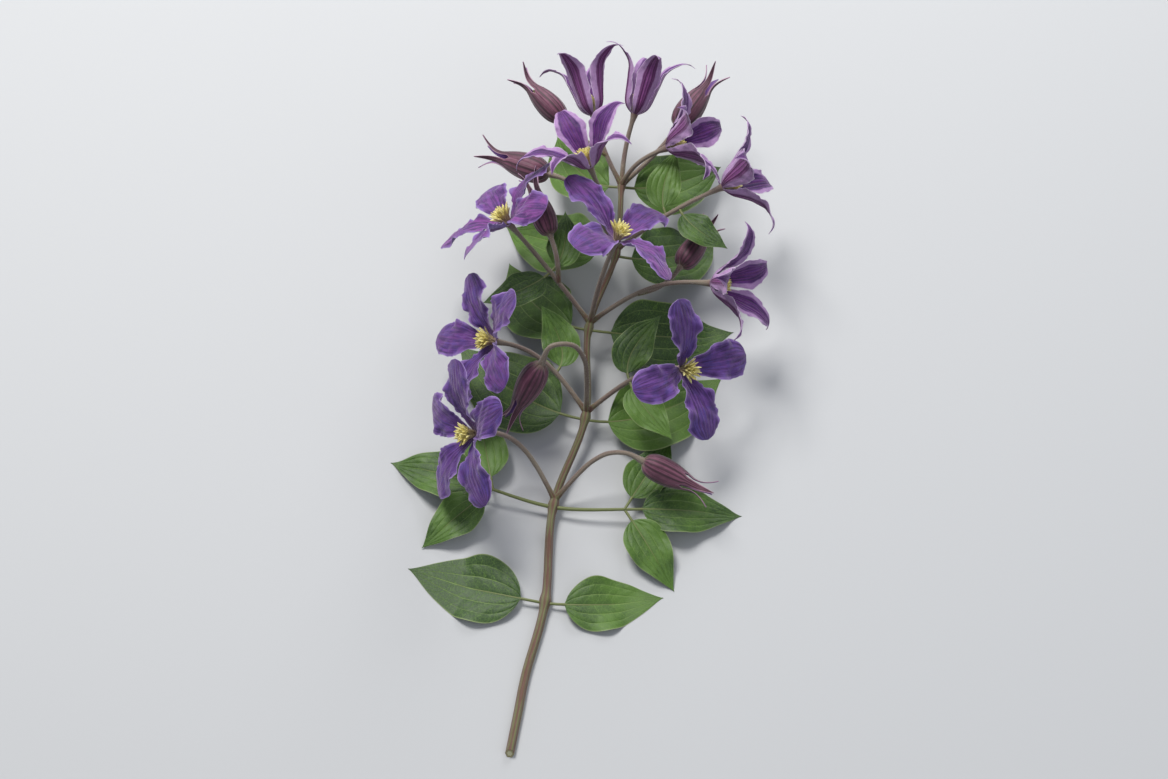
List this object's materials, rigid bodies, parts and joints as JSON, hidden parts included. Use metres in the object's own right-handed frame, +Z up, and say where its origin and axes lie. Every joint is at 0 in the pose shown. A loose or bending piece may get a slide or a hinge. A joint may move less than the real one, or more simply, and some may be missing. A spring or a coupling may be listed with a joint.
{
  "type": "cut clematis stem",
  "caption": "Cut flowering stem of clematis lying on a surface, with violet blooms, plum buds and green leaves on thin stalks.",
  "frame": {"origin": "on the surface that the stem lies on, under the middle of the stem's bounding box", "axes": "+Y along the main stem from its cut end towards the top flowers, +Z up from the surface, +X to the right of the stem seen from above"},
  "size_m": [0.2388, 0.5151, 0.1332],
  "materials": {
    "stem": "downy, grey-brown over green, matt",
    "leaf": "smooth, softly shining, veined",
    "petals": "velvety violet with paler margins, matt",
    "bud": "dusky plum with fine lengthwise ribs, matt",
    "stamens": "cream yellow, matt"
  },
  "bodies": {
    "root": {"stem": "stem", "bloom_1_petals": "petals", "bloom_1_stamens": "stamens", "bloom_2_petals": "petals", "bloom_2_stamens": "stamens", "bloom_3_petals": "petals", "bloom_3_stamens": "stamens", "bloom_4_petals": "petals", "bloom_4_stamens": "stamens", "bloom_5_petals": "petals", "bloom_5_stamens": "stamens", "bloom_6_petals": "petals", "bloom_6_stamens": "stamens", "bloom_7_petals": "petals", "bloom_7_stamens": "stamens", "bloom_8_petals": "petals", "bloom_8_stamens": "stamens", "bloom_9_petals": "petals", "bloom_9_stamens": "stamens", "bloom_10_petals": "petals", "bloom_10_stamens": "stamens", "bloom_11_petals": "petals", "bloom_11_stamens": "stamens", "bud_1": "bud", "bud_2": "bud", "bud_3": "bud", "bud_4": "bud", "bud_5": "bud", "bud_6": "bud", "bud_7": "bud", "leaf_1_left": "leaf", "leaf_1_right": "leaf", "leaf_3_left": "leaf", "leaf_3_right": "leaf", "leaf_4_left": "leaf", "leaf_4_right": "leaf", "leaf_5_left": "leaf", "leaf_5_right": "leaf", "leaf_6_left": "leaf", "leaf_6_right": "leaf", "small_leaf_three_left": "leaf", "small_leaf_five_right_a": "leaf", "small_leaf_five_right_b": "leaf", "small_leaf_four_left_a": "leaf", "small_leaf_four_left_b": "leaf", "small_leaf_three_right_a": "leaf", "small_leaf_three_right_b": "leaf", "threefold_leaf_left": "leaf", "threefold_leaf_right": "leaf"}
  },
  "joints": []
}
